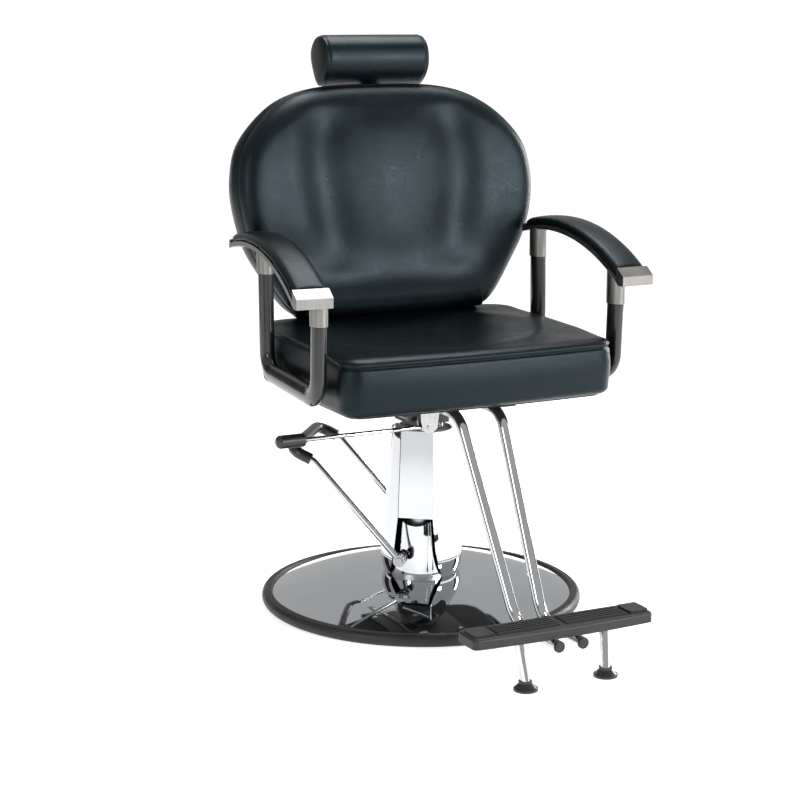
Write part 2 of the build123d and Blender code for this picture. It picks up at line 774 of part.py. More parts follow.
def make_footrest_tread():
    """Moulded rubber tread over the plate, ribbed on top, with an end block each side."""
    top = TREAD_Z + 18
    with BuildPart() as tread:
        with BuildSketch(Plane.XY.offset(TREAD_Z)) as outline:
            with BuildLine():
                front = ThreePointArc((-TREAD_HALF, TREAD_FRONT + 4), (0, TREAD_FRONT - 3),
                                      (TREAD_HALF, TREAD_FRONT + 4))
                Line(front @ 1, (TREAD_HALF, TREAD_REAR))
                Line((TREAD_HALF, TREAD_REAR), (-TREAD_HALF, TREAD_REAR))
                Line((-TREAD_HALF, TREAD_REAR), front @ 0)
            make_face()
            fillet(outline.vertices(), 10)
        extrude(amount=18)
        fillet(tread.edges().group_by(Axis.Z)[-1], 5)
        with BuildSketch(Plane.XY.offset(TREAD_Z)):
            with Locations((0, (TREAD_FRONT + TREAD_REAR) / 2)):
                RectangleRounded(310, 50, 6)
        extrude(amount=4, mode=Mode.SUBTRACT)
        with BuildSketch(Plane.XY.offset(top)):
            with Locations((-148, -497), (148, -497)):
                RectangleRounded(36, 42, 4)
        extrude(amount=4)
        with BuildSketch(Plane.XY.offset(top)):
            with GridLocations(130, 9, 2, 5):
                with Locations((0, -497)):
                    Rectangle(118, 4)
        extrude(amount=2.5)
    return keep(tread, "footrest_tread")


def leg_plane(side):
    """Plane at a leg's top, looking down the leg, which splays forwards."""
    top = Vector(side * 82.8, -512, TREAD_Z)
    bottom = Vector(side * 76.4, -530, 0)
    return Plane(origin=top, z_dir=bottom - top)


def make_footrest_legs():
    with BuildPart() as legs:
        for side in (-1, 1):
            with BuildSketch(leg_plane(side)):
                Circle(8.5)
            extrude(amount=90)
            with BuildSketch(leg_plane(side)):
                Circle(8.5)
            extrude(amount=-10)
        with BuildSketch(Plane.XY.offset(16)):
            Rectangle(400, 1400)
        extrude(amount=TREAD_Z - 16, mode=Mode.INTERSECT)
    return keep(legs, "footrest_legs")


def make_footrest_feet():
    with BuildPart() as feet:
        for side in (-1, 1):
            centre = (side * 77.2, -528.2, 0)
            with BuildSketch(Plane.XY):
                with Locations(centre[:2]):
                    Circle(20.5)
            extrude(amount=4)
            with BuildSketch(Plane.XY.offset(4)):
                with Locations(centre[:2]):
                    Circle(19)
            with BuildSketch(Plane.XY.offset(12)):
                with Locations((side * 77.4, -527.2)):
                    Circle(11.5)
            loft()
            with BuildSketch(Plane.XY.offset(12)):
                with Locations((side * 77.5, -526.8)):
                    Circle(11.5)
            extrude(amount=4)
    return keep(feet, "footrest_feet")


# ---- Recline mechanism ----
def make_recline_bracket():
    """Two cheeks below the seat plate, with the recline lever's pivot pin."""
    with BuildPart() as bracket:
        for start in (ROD_Y + 9, ROD_Y - 6):
            with BuildSketch(Plane.XZ.offset(-start)):
                with BuildLine():
                    Polyline((-56, PLATE_Z), (-52, ROD_Z - 2), (-44, ROD_Z - 9), (-30, ROD_Z - 9),
                             (-22, ROD_Z - 2), (-18, PLATE_Z), close=True)
                make_face()
            extrude(amount=3)
        with BuildSketch(Plane.XZ.offset(-(ROD_Y + 11))):
            with Locations((ROD_PIVOT_X, ROD_Z)):
                Circle(3)
        extrude(amount=22)
        for start in (ROD_Y + 11, ROD_Y - 9):
            with BuildSketch(Plane.XZ.offset(-start)):
                with Locations((ROD_PIVOT_X, ROD_Z)):
                    Circle(5)
            extrude(amount=2)
    return keep(bracket, "recline_bracket")


def make_recline_rod():
    with BuildPart() as rod:
        with BuildSketch(Plane.XZ.offset(-(ROD_Y + 5.5))):
            with Locations((ROD_PIVOT_X, ROD_Z)):
                Circle(8)
        extrude(amount=11)
        with BuildSketch(Plane.YZ.offset(-318)):
            with Locations((ROD_Y, ROD_Z)):
                Circle(4)
        extrude(amount=318 + ROD_PIVOT_X - 4)
        with BuildSketch(Plane.XZ.offset(-(ROD_Y + 5.5))):
            with Locations((ROD_PIVOT_X, ROD_Z)):
                Circle(3 + RUNNING_GAP)
        extrude(amount=11, mode=Mode.SUBTRACT)
    return keep(rod, "recline_rod")


def make_recline_knob(rod):
    with BuildPart() as knob:
        with BuildSketch(Plane.YZ.offset(-334)):
            with Locations((ROD_Y, ROD_Z)):
                Circle(12)
        extrude(amount=54)
        fillet(knob.edges().group_by(Axis.X)[0], 9)
        fillet(knob.edges().group_by(Axis.X)[-1], 3)
        add(rod, mode=Mode.SUBTRACT)
    return keep(knob, "recline_knob")


def make_gas_cylinder():
    """Lockable gas spring's tube, with its lug in front and its gland behind."""
    with BuildPart() as cylinder:
        with BuildSketch(Plane.XZ.offset(70)):
            with Locations((GAS_X, GAS_Z)):
                Circle(9.5)
        extrude(amount=-166)
        with BuildSketch(Plane.XZ.offset(60)):
            with Locations((GAS_X, GAS_Z)):
                Circle(8)
        extrude(amount=-146, mode=Mode.SUBTRACT)
        with BuildSketch(Plane.XZ.offset(-80)):
            with Locations((GAS_X, GAS_Z)):
                Circle(4 + RUNNING_GAP)
        extrude(amount=-20, mode=Mode.SUBTRACT)
        with BuildSketch(Plane.XZ.offset(82)):
            with Locations((GAS_X, (GAS_Z - 9 + PLATE_Z) / 2)):
                Rectangle(18, PLATE_Z - GAS_Z + 9)
        extrude(amount=-12)
    return keep(cylinder, "gas_cylinder")


CRANK_SIN, CRANK_COS = turned(RECLINE_TRAVEL / 2)
CRANK_Y = HINGE_Y + CRANK_RADIUS * CRANK_SIN
CRANK_Z = HINGE_Z - CRANK_RADIUS * CRANK_COS


def make_gas_rod():
    """Piston rod with a slotted eye, so that the crank's pin can rise and fall in it."""
    with BuildPart() as rod:
        with BuildSketch(Plane.XZ.offset(-30)):
            with Locations((GAS_X, GAS_Z)):
                Circle(4)
        extrude(amount=-(CRANK_Y - 9 - 30))
        with BuildSketch(Plane.XZ.offset(-26)):
            with Locations((GAS_X, GAS_Z)):
                Circle(8 - RUNNING_GAP)
        extrude(amount=-12)
        with BuildSketch(Plane.YZ.offset(GAS_X - 3)):
            with Locations((CRANK_Y, GAS_Z)):
                Circle(13)
        extrude(amount=6)
        with BuildSketch(Plane.YZ.offset(GAS_X - 4)):
            with Locations((CRANK_Y, GAS_Z)):
                SlotOverall(13.4, 8.8, rotation=90)
        extrude(amount=8, mode=Mode.SUBTRACT)
    return keep(rod, "gas_rod")


# ---- Backrest frame ----
def make_hinge_shaft():
    with BuildPart() as shaft:
        with BuildSketch(Plane.YZ.offset(-128)):
            with Locations((HINGE_Y, HINGE_Z)):
                Circle(HINGE_SHAFT)
        extrude(amount=256)
        for start in (-128, 121):
            with BuildSketch(Plane.YZ.offset(start)):
                with Locations((HINGE_Y, HINGE_Z)):
                    RegularPolygon(radius=13, side_count=6)
            extrude(amount=7)
    return keep(shaft, "hinge_shaft")


def make_hinge_arms():
    """Steel angles from the hinge shaft up the back's rear panel."""
    low_z = 575
    high_z = 705
    cover = 4.0
    with BuildPart() as arms:
        with BuildSketch(Plane.YZ.offset(RAIL_OUTER + 1)):
            with BuildLine():
                Polyline((HINGE_Y - 15, HINGE_Z), (rear_y(BACK_BOTTOM) + cover, BACK_BOTTOM),
                         (rear_y(high_z) + cover, high_z), (rear_y(high_z) + cover + 12, high_z),
                         (rear_y(low_z) + cover + 26, low_z), (HINGE_Y + 15, HINGE_Z), close=True)
            make_face()
            with Locations((HINGE_Y, HINGE_Z)):
                Circle(15)
                Circle(HINGE_SHAFT, mode=Mode.SUBTRACT)
        extrude(amount=6)
        with BuildSketch(rear_plane((low_z + high_z) / 2).offset(cover)):
            with Locations((-RAIL_OUTER + 10, 0)):
                RectangleRounded(34, high_z - low_z, 4)
            with Locations(*[(-RAIL_OUTER + 10, offset) for offset in (-45, 0, 45)]):
                Circle(3.1, mode=Mode.SUBTRACT)
        extrude(amount=4)
        mirror(about=Plane.YZ)
    return keep(arms, "hinge_arms")


def make_back_screws():
    cover = 4.0
    with BuildPart() as screws:
        with BuildSketch(rear_plane(640).offset(cover + 4)):
            with Locations(*[(-RAIL_OUTER + 10, offset) for offset in (-45, 0, 45)]):
                Circle(5.5)
        extrude(amount=2.5)
        with BuildSketch(rear_plane(640).offset(cover + 4)):
            with Locations(*[(-RAIL_OUTER + 10, offset) for offset in (-45, 0, 45)]):
                Circle(3)
        extrude(amount=-16)
        mirror(about=Plane.YZ)
    return keep(screws, "back_screws")


def make_crank():
    with BuildPart() as crank:
        for start in (GAS_X - 8.5, GAS_X + 4.5):
            with BuildSketch(Plane.YZ.offset(start)):
                with BuildLine():
                    Polyline((HINGE_Y - 13, HINGE_Z), (CRANK_Y - 9, CRANK_Z),
                             (CRANK_Y + 9, CRANK_Z), (HINGE_Y + 13, HINGE_Z), close=True)
                make_face()
                with Locations((HINGE_Y, HINGE_Z)):
                    Circle(13)
                    Circle(HINGE_SHAFT, mode=Mode.SUBTRACT)
                with Locations((CRANK_Y, CRANK_Z)):
                    Circle(9)
            extrude(amount=4)
        with BuildSketch(Plane.YZ.offset(GAS_X - 11)):
            with Locations((CRANK_Y, CRANK_Z)):
                Circle(4)
        extrude(amount=22)
    return keep(crank, "recline_crank")


def back_outline(inset):
    """The back from the front: a shield, widest above the armrests."""
    half = [(199, BACK_BOTTOM), (252, 608), (281, 660), (299, 735), (300, 790), (286, 845),
            (244, 895), (190, 929), (114, 946), (0, BACK_TOP)]
    moved = [(199 - 0.6 * inset, BACK_BOTTOM + inset)]
    for before, spot, after in zip(half, half[1:], half[2:]):
        run = after[0] - before[0]
        rise = after[1] - before[1]
        length = math.hypot(run, rise)
        moved.append((spot[0] - inset * rise / length, spot[1] + inset * run / length))
    moved.append((0, BACK_TOP - inset))
    other = [(-x, z) for x, z in reversed(moved)]
    with BuildSketch(mode=Mode.PRIVATE) as outline:
        with BuildLine():
            right = Spline(*moved, tangents=[(0.55, 1), (-1, 0)])
            left = Spline(*other, tangents=[(-1, 0), (0.55, -1)])
            Line(left @ 1, right @ 0)
        make_face()
        fillet(outline.vertices().group_by(Axis.Y)[0], 40 - inset)
    return outline.sketch


def rear_slab(front_gap, rear_gap, low, high):
    """Side view of a layer parallel to the back's rear face."""
    with BuildSketch(mode=Mode.PRIVATE) as slab:
        with BuildLine():
            Polyline((rear_y(low) + front_gap, low), (rear_y(high) + front_gap, high),
                     (rear_y(high) + rear_gap, high), (rear_y(low) + rear_gap, low), close=True)
        make_face()
    return slab.sketch


def make_back_board():
    with BuildPart() as board:
        with BuildSketch(Plane.XZ.offset(-260)):
            add(back_outline(16))
        extrude(amount=200)
        with BuildSketch(Plane.YZ.offset(-320)):
            add(rear_slab(-12, 0, BACK_BOTTOM + 18, BACK_TOP - 18))
        extrude(amount=640, mode=Mode.INTERSECT)
    return keep(board, "back_board")


def make_back_rear_panel():
    with BuildPart() as panel:
        with BuildSketch(Plane.XZ.offset(-260)):
            add(back_outline(9))
        extrude(amount=200)
        with BuildSketch(Plane.YZ.offset(-320)):
            add(rear_slab(0, 4, BACK_BOTTOM + 10, BACK_TOP - 14))
        extrude(amount=640, mode=Mode.INTERSECT)
    return keep(panel, "back_rear_panel")


def make_back_cushion(board):
    """Upholstered front of the back, thick at the waist and thinner at the top."""
    with BuildPart() as cushion:
        with BuildSketch(Plane.XZ.offset(-260)):
            add(back_outline(0))
        extrude(amount=200)
        with BuildSketch(Plane.YZ.offset(-320)):
            with BuildLine():
                Line((94, BACK_BOTTOM), (118, 740))
                ThreePointArc((118, 740), (142, 880), (170, 940))
                Line((170, 940), (186, BACK_TOP))
                Line((186, BACK_TOP), (rear_y(BACK_TOP - 16), BACK_TOP - 6))
                Line((rear_y(BACK_TOP - 16), BACK_TOP - 6), (rear_y(BACK_BOTTOM), BACK_BOTTOM))
                Line((rear_y(BACK_BOTTOM), BACK_BOTTOM), (94, BACK_BOTTOM))
            make_face()
        extrude(amount=640, mode=Mode.INTERSECT)
        add(board, mode=Mode.SUBTRACT)
    return keep(cushion, "back_cushion")


# ---- Headrest ----
POST_GAP = 6.2
GUIDE_Z = 835.0


def make_headrest_guide():
    with BuildPart() as guide:
        with BuildSketch(rear_plane(GUIDE_Z).offset(4)):
            RectangleRounded(64, 70, 6)
        extrude(amount=12)
        with BuildSketch(rear_plane(GUIDE_Z).offset(7)):
            Rectangle(38 + 0.15, 80)
        extrude(amount=POST_GAP, mode=Mode.SUBTRACT)
    return keep(guide, "headrest_guide")


def make_headrest_post():
    with BuildPart() as post:
        with BuildSketch(rear_plane(GUIDE_Z).offset(7.1)):
            with Locations((0, 15)):
                RectangleRounded(38, 300, 4)
        extrude(amount=6)
    return keep(post, "headrest_post")


def make_headrest_board():
    with BuildPart() as board:
        with BuildSketch(rear_plane(GUIDE_Z).offset(13.1)):
            with Locations((0, 150)):
                RectangleRounded(150, 50, 8)
        extrude(amount=9)
    return keep(board, "headrest_board")


def make_headrest_cushion(post, board):
    """Padded roll: full in front, cut away below at the rear."""
    section = [(226, 943), (198, 962), (181, 992), (188, 1026), (215, 1044), (246, 1036),
               (264, 1006), (247, 964)]
    with BuildPart() as cushion:
        with BuildSketch(Plane.YZ):
            with BuildLine():
                Spline(*section, periodic=True)
            make_face()
        extrude(amount=113, both=True)
        add(post, mode=Mode.SUBTRACT)
        add(board, mode=Mode.SUBTRACT)
    return keep(cushion, "headrest_cushion")


def main():
    dome = make_base_dome()
    make_edge_ring(dome)
    make_stiffener()
    make_flange()
    make_flange_bolts()
    make_pump_block()
    make_shaft_bushes()
    make_reservoir()
    make_cylinder()
    make_gland(make_shroud(), make_cover_plates())
    make_foot_cover()
    make_return_spring()

    rod = make_lever_rod()
    make_lever_eyes(rod)
    make_lever_shaft()
    make_lever_grip()

    make_ram()
    make_ram_piston()
    make_ram_seal()
    make_thrust_washer()

    make_pedestal()
    make_seat_plate()
    make_seat_rails()
    make_seat_bolts()
    arm_bolts = make_arm_bolts()
    board = make_seat_board(arm_bolts)
    make_seat_cushion(board, arm_bolts, make_arm_spacers(board, arm_bolts))
    make_mirrored(make_arm_tube("arm_tube_left"), "arm_tube_right")
    make_mirrored(make_armrest_shell("armrest_shell_left"), "armrest_shell_right")
    make_mirrored(make_armrest_pad("armrest_pad_left"), "armrest_pad_right")

    make_footrest_tubes()
    make_footrest_caps()
    make_footrest_clamp()
    make_footrest_plate()
    make_footrest_tread()
    make_footrest_legs()
    make_footrest_feet()

    make_recline_bracket()
    make_recline_knob(make_recline_rod())
    make_gas_cylinder()
    make_gas_rod()

    make_hinge_shaft()
    make_hinge_arms()
    make_back_screws()
    make_crank()
    board = make_back_board()
    make_back_rear_panel()
    make_back_cushion(board)
    make_headrest_guide()
    make_headrest_cushion(make_headrest_post(), make_headrest_board())


main()
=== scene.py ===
"""The looks of a hydraulic barber chair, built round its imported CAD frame.

Lengths are in metres. The origin is on the floor, on the lifting column's axis, and the
sitter faces -Y. Soft parts are lofted as rings of points that carry the crowns, folds and
sunken seams, then get one subdivision and rows of sewn threads.
"""

import json
import math

import bmesh
import bpy
import numpy as np
from mathutils import Matrix, Vector


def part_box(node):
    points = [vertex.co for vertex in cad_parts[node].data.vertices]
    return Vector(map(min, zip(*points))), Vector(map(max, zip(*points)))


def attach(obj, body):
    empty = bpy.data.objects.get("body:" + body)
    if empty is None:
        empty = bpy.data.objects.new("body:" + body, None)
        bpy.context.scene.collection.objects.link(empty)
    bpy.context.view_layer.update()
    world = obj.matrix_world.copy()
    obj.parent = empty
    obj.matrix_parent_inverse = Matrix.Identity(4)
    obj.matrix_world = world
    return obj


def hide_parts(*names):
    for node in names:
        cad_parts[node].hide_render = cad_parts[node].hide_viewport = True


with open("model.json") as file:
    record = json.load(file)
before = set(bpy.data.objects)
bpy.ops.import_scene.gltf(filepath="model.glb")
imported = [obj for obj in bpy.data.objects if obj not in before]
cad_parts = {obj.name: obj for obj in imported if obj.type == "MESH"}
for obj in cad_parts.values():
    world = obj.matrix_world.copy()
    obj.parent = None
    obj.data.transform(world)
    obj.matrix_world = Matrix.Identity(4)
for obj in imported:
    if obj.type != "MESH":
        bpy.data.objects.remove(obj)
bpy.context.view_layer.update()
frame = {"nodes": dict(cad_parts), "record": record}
nodes = frame["nodes"]


# ---- Material building blocks ----
def shader(name, **inputs):
    """A new material. inputs set the principled shader's own sockets."""
    material = bpy.data.materials.new(name)
    material.use_nodes = True
    principled = material.node_tree.nodes["Principled BSDF"]
    for key, value in inputs.items():
        socket = key if key == "IOR" else key.replace("_", " ").capitalize()
        principled.inputs[socket].default_value = value
    return material, material.node_tree, principled


def add_node(tree, kind, **inputs):
    """A node of that kind, with its input sockets set or linked."""
    node = tree.nodes.new(kind)
    for key, value in inputs.items():
        socket = node.inputs[key]
        if isinstance(value, bpy.types.NodeSocket):
            tree.links.new(value, socket)
        else:
            socket.default_value = value
    return node


def spot(tree, stretch=(1, 1, 1)):
    """Position on the object, stretched along its axes."""
    where = tree.nodes.new("ShaderNodeTexCoord").outputs["Object"]
    return add_node(tree, "ShaderNodeMapping", Vector=where, Scale=stretch).outputs["Vector"]


def noise(tree, where, scale, detail=4.0, roughness=0.55):
    node = add_node(tree, "ShaderNodeTexNoise", Vector=where, Scale=scale, Detail=detail,
                    Roughness=roughness)
    return node.outputs["Fac"]


def ramp(tree, value, stops):
    """Colour ramp from (position, colour) stops."""
    node = add_node(tree, "ShaderNodeValToRGB", Fac=value)
    elements = node.color_ramp.elements
    while len(elements) < len(stops):
        elements.new(0.5)
    for element, (position, colour) in zip(elements, stops):
        element.position = position
        element.color = (*colour, 1.0)
    return node.outputs["Color"]


def spread(tree, value, low, high):
    """The value's middle range mapped to low..high."""
    node = tree.nodes.new("ShaderNodeMapRange")
    node.inputs["From Min"].default_value = 0.3
    node.inputs["From Max"].default_value = 0.7
    node.inputs["To Min"].default_value = low
    node.inputs["To Max"].default_value = high
    tree.links.new(value, node.inputs["Value"])
    return node.outputs["Result"]


def bump(tree, height, distance, strength, under=None):
    inputs = {"Height": height, "Distance": distance, "Strength": strength}
    if under is not None:
        inputs["Normal"] = under
    return add_node(tree, "ShaderNodeBump", **inputs).outputs["Normal"]


def leather(name, dark, light, rough_low, rough_high):
    """Fine-grained coated leather with soft, slightly uneven gloss."""
    material, tree, principled = shader(name, IOR=1.5)
    principled.inputs["Specular IOR Level"].default_value = 0.26
    principled.inputs["Specular Tint"].default_value = (0.66, 0.88, 1.0, 1.0)
    where = spot(tree)
    cloudy = noise(tree, where, 7.0, 3.0)
    tree.links.new(ramp(tree, cloudy, [(0.3, dark), (0.7, light)]), principled.inputs["Base Color"])
    patches = noise(tree, where, 26.0, 5.0)
    tree.links.new(spread(tree, patches, rough_low, rough_high), principled.inputs["Roughness"])
    cells = add_node(tree, "ShaderNodeTexVoronoi", Vector=where, Scale=620.0)
    cells.feature = "DISTANCE_TO_EDGE"
    pebbles = ramp(tree, cells.outputs["Distance"], [(0.0, (0, 0, 0)), (0.22, (1, 1, 1))])
    grain = bump(tree, pebbles, 0.00025, 0.35)
    creases = bump(tree, noise(tree, where, 120.0, 6.0, 0.7), 0.0006, 0.25, grain)
    tree.links.new(creases, principled.inputs["Normal"])
    return material


def polished(name, colour, rough_low, rough_high):
    """Plated steel: bright, with faint smears and fine polishing marks."""
    material, tree, principled = shader(name, metallic=1.0)
    where = spot(tree)
    smears = noise(tree, where, 9.0, 5.0)
    tint = [(0.35, tuple(c * 0.94 for c in colour)), (0.65, colour)]
    tree.links.new(ramp(tree, smears, tint), principled.inputs["Base Color"])
    tree.links.new(spread(tree, smears, rough_low, rough_high), principled.inputs["Roughness"])
    marks = noise(tree, spot(tree, (1, 1, 0.15)), 900.0, 2.0)
    tree.links.new(bump(tree, marks, 0.00002, 0.12), principled.inputs["Normal"])
    return material


def cast_metal(name, colour, rough_low, rough_high, streak):
    """Satin metal with brush marks drawn out along the given direction."""
    material, tree, principled = shader(name, metallic=1.0)
    lines = noise(tree, spot(tree, streak), 420.0, 3.0)
    cloudy = noise(tree, spot(tree), 30.0, 4.0)
    tint = [(0.3, tuple(c * 0.82 for c in colour)), (0.7, colour)]
    tree.links.new(ramp(tree, lines, tint), principled.inputs["Base Color"])
    tree.links.new(spread(tree, cloudy, rough_low, rough_high), principled.inputs["Roughness"])
    tree.links.new(bump(tree, lines, 0.00008, 0.3), principled.inputs["Normal"])
    return material


def enamel(name, dark, light, rough_low, rough_high, coat, peel=0.15):
    """Sprayed paint or moulded plastic with slight orange peel."""
    material, tree, principled = shader(name)
    principled.inputs["Coat Weight"].default_value = coat
    principled.inputs["Coat Roughness"].default_value = 0.08
    where = spot(tree)
    cloudy = noise(tree, where, 18.0, 4.0)
    tree.links.new(ramp(tree, cloudy, [(0.35, dark), (0.65, light)]), principled.inputs["Base Color"])
    tree.links.new(spread(tree, cloudy, rough_low, rough_high), principled.inputs["Roughness"])
    skin = noise(tree, where, 520.0, 2.0)
    tree.links.new(bump(tree, skin, 0.0001, peel), principled.inputs["Normal"])
    return material


def timber(name):
    material, tree, principled = shader(name, roughness=0.7)
    rings = noise(tree, spot(tree, (1.5, 18, 18)), 6.0, 6.0)
    stops = [(0.3, (0.36, 0.22, 0.11)), (0.7, (0.58, 0.41, 0.24))]
    tree.links.new(ramp(tree, rings, stops), principled.inputs["Base Color"])
    tree.links.new(bump(tree, rings, 0.0004, 0.3), principled.inputs["Normal"])
    return material


HIDE = leather("leather", (0.0007, 0.0020, 0.0026), (0.0013, 0.0034, 0.0043), 0.27, 0.36)
THREAD = enamel("thread", (0.010, 0.016, 0.019), (0.020, 0.030, 0.035), 0.5, 0.65, 0.0, 0.5)
LOOKS = {
    "leather": HIDE,
    "chrome": polished("chrome", (0.60, 0.615, 0.63), 0.02, 0.07),
    "silver": cast_metal("silver", (0.27, 0.262, 0.25), 0.30, 0.42, (1, 0.06, 0.06)),
    "black_gloss": enamel("black_gloss", (0.004, 0.004, 0.005), (0.007, 0.008, 0.010), 0.18, 0.28, 0.3),
    "black_satin": enamel("black_satin", (0.006, 0.006, 0.006), (0.011, 0.011, 0.012), 0.35, 0.5, 0.1),
    "black_plastic": enamel("black_plastic", (0.006, 0.006, 0.007), (0.011, 0.011, 0.012),
                            0.30, 0.42, 0.15, 0.4),
    "rubber": enamel("rubber", (0.005, 0.006, 0.007), (0.010, 0.011, 0.012), 0.42, 0.58, 0.0, 0.6),
    "steel": cast_metal("steel", (0.52, 0.52, 0.53), 0.25, 0.40, (1, 1, 0.1)),
    "wood": timber("wood"),
    "lining": enamel("lining", (0.004, 0.004, 0.004), (0.008, 0.008, 0.008), 0.8, 0.95, 0.0, 0.9),
}


def dress_frame():
    """Gives every CAD node its material slot's look."""
    for entry in frame["record"]["subparts"]:
        target = nodes[entry["node"]]
        target.data.materials.clear()
        target.data.materials.append(LOOKS[entry["material_slot"]])


# ---- Shapes made of rings ----
def loft(name, rings):
    """Closed mesh through equal rings of points, with each end ring closed to its centre."""
    rings = np.asarray(rings, float)
    rows, count = rings.shape[:2]
    points = list(rings.reshape(-1, 3))
    faces = []
    for row in range(rows - 1):
        for i in range(count):
            after = (i + 1) % count
            near, far = row * count, (row + 1) * count
            faces.append((near + i, near + after, far + after, far + i))
    for row in (0, rows - 1):
        hub = len(points)
        points.append(rings[row].mean(0))
        faces += [(row * count + i, row * count + (i + 1) % count, hub) for i in range(count)]
    mesh = bpy.data.meshes.new(name)
    mesh.from_pydata([tuple(p) for p in points], [], faces)
    shape = bmesh.new()
    shape.from_mesh(mesh)
    bmesh.ops.recalc_face_normals(shape, faces=shape.faces)
    shape.to_mesh(mesh)
    shape.free()
    piece = bpy.data.objects.new(name, mesh)
    bpy.context.scene.collection.objects.link(piece)
    return piece


def smooth_loop(corners, count):
    """Evenly spaced points on a closed Catmull-Rom curve through the corners."""
    corners = np.asarray(corners, float)
    fine = []
    for i in range(len(corners)):
        a, b, c, d = (corners[(i + k - 1) % len(corners)] for k in range(4))
        for t in np.linspace(0, 1, 24, endpoint=False):
            fine.append(0.5 * (2 * b + (c - a) * t + (2 * a - 5 * b + 4 * c - d) * t**2
                               + (3 * b - a - 3 * c + d) * t**3))
    return even_loop(fine, count)


def even_loop(points, count):
    """The closed polyline resampled to equally spaced points."""
    points = np.asarray(points, float)
    closed = np.vstack([points, points[:1]])
    run = np.concatenate([[0], np.cumsum(np.linalg.norm(np.diff(closed, axis=0), axis=1))])
    wanted = np.linspace(0, run[-1], count, endpoint=False)
    return np.stack([np.interp(wanted, run, closed[:, k]) for k in range(closed.shape[1])], axis=1)


def outward(loop):
    """Outward unit normals of a flat closed loop."""
    along = np.roll(loop, -1, axis=0) - np.roll(loop, 1, axis=0)
    along = sum(np.roll(along, k, axis=0) for k in (-2, -1, 0, 1, 2))
    normal = np.stack([along[:, 1], -along[:, 0]], axis=1)
    normal /= np.linalg.norm(normal, axis=1)[:, None]
    area = np.sum(loop[:, 0] * np.roll(loop[:, 1], -1) - np.roll(loop[:, 0], -1) * loop[:, 1])
    return normal if area > 0 else -normal


def hill(x, centre, width):
    """A smooth bump of height 1."""
    return np.exp(-(((x - centre) / width) ** 2))


def step_up(x, low, high):
    """A smooth rise from 0 at low to 1 at high."""
    t = np.clip((x - low) / (high - low), 0, 1)
    return t * t * (3 - 2 * t)


def finish_soft(piece, body, node):
    """Smooth shading, one subdivision, leather, and its place in the frame."""
    piece.data.materials.append(HIDE)
    for polygon in piece.data.polygons:
        polygon.use_smooth = True
    piece.modifiers.new("smooth", "SUBSURF").levels = 1
    piece.modifiers["smooth"].render_levels = 1
    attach(piece, body)
    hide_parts(node)
    return piece


def stitches(name, path, normals, body, pitch=0.0052, length=0.0034, radius=0.00045, closed=True):
    """A row of sewn threads along a path, each one a small rounded bar in the surface."""
    path = np.asarray(path, float)
    normals = np.asarray(normals, float)
    loop = np.vstack([path, path[:1]]) if closed else path
    ups = np.vstack([normals, normals[:1]]) if closed else normals
    run = np.concatenate([[0], np.cumsum(np.linalg.norm(np.diff(loop, axis=0), axis=1))])
    points, faces = [], []
    profile = ((-0.5, 0.3), (-0.3, 1.0), (0.3, 1.0), (0.5, 0.3))
    for start in np.arange(0, run[-1] - length, pitch):
        middle = start + length / 2
        centre = np.array([np.interp(middle, run, loop[:, k]) for k in range(3)])
        ahead = np.array([np.interp(middle + length / 4, run, loop[:, k]) for k in range(3)])
        up = np.array([np.interp(middle, run, ups[:, k]) for k in range(3)])
        along = (ahead - centre) / max(np.linalg.norm(ahead - centre), 1e-9)
        side = np.cross(along, up)
        side /= max(np.linalg.norm(side), 1e-9)
        up = np.cross(side, along)
        first = len(points)
        for offset, width in profile:
            for k in range(6):
                angle = math.tau * k / 6
                ring = side * math.cos(angle) + up * math.sin(angle)
                points.append(centre + along * offset * length + ring * radius * width)
        for r in range(3):
            for k in range(6):
                after = (k + 1) % 6
                a, b = first + r * 6, first + (r + 1) * 6
                faces.append((a + k, a + after, b + after, b + k))
        faces.append(tuple(first + k for k in range(6)))
        faces.append(tuple(first + 18 + k for k in range(6)))
    mesh = bpy.data.meshes.new(name)
    mesh.from_pydata([tuple(p) for p in points], [], faces)
    mesh.materials.append(THREAD)
    for polygon in mesh.polygons:
        polygon.use_smooth = True
    piece = bpy.data.objects.new(name, mesh)
    bpy.context.scene.collection.objects.link(piece)
    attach(piece, body)
    return piece


# ---- Seat ----
SEAM_DEPTH = 0.0042      # how far a seam sinks into the leather
SEAT_COUNT = 260         # points round the seat's edge
SEAT_BOW = 0.009         # how far the front edge bows forwards in the middle
SEAT_FRONT_CORNER = 0.034
SEAT_REAR_CORNER = 0.062
SEAT_BULGE = 0.004       # how far the border swells between its seams
SEAT_LOW_ROLL = 0.014    # height of the rounding under the border
SEAT_SEAM_TOP = 0.0034   # height of the top panel's start over the seam's middle


def seat_outline(low, high):
    """The seat's edge in plan, from the middle of the rear."""
    half = high.x - 0.001
    front, rear = low.y + SEAT_BOW + 0.001, high.y - 0.003
    points = []

    def corner(x, y, radius, first):
        for k in range(13):
            angle = math.radians(first + 90 * k / 12)
            points.append((x + radius * math.cos(angle), y + radius * math.sin(angle)))

    corner(half - SEAT_REAR_CORNER, rear - SEAT_REAR_CORNER, SEAT_REAR_CORNER, 0)
    corner(-half + SEAT_REAR_CORNER, rear - SEAT_REAR_CORNER, SEAT_REAR_CORNER, 90)
    corner(-half + SEAT_FRONT_CORNER, front + SEAT_FRONT_CORNER, SEAT_FRONT_CORNER, 180)
    for x in np.linspace(-half + SEAT_FRONT_CORNER, half - SEAT_FRONT_CORNER, 15)[1:-1]:
        points.append((x, front - SEAT_BOW * (1 - (x / (half - SEAT_FRONT_CORNER)) ** 2)))
    corner(half - SEAT_FRONT_CORNER, front + SEAT_FRONT_CORNER, SEAT_FRONT_CORNER, 270)
    return even_loop(points, SEAT_COUNT)


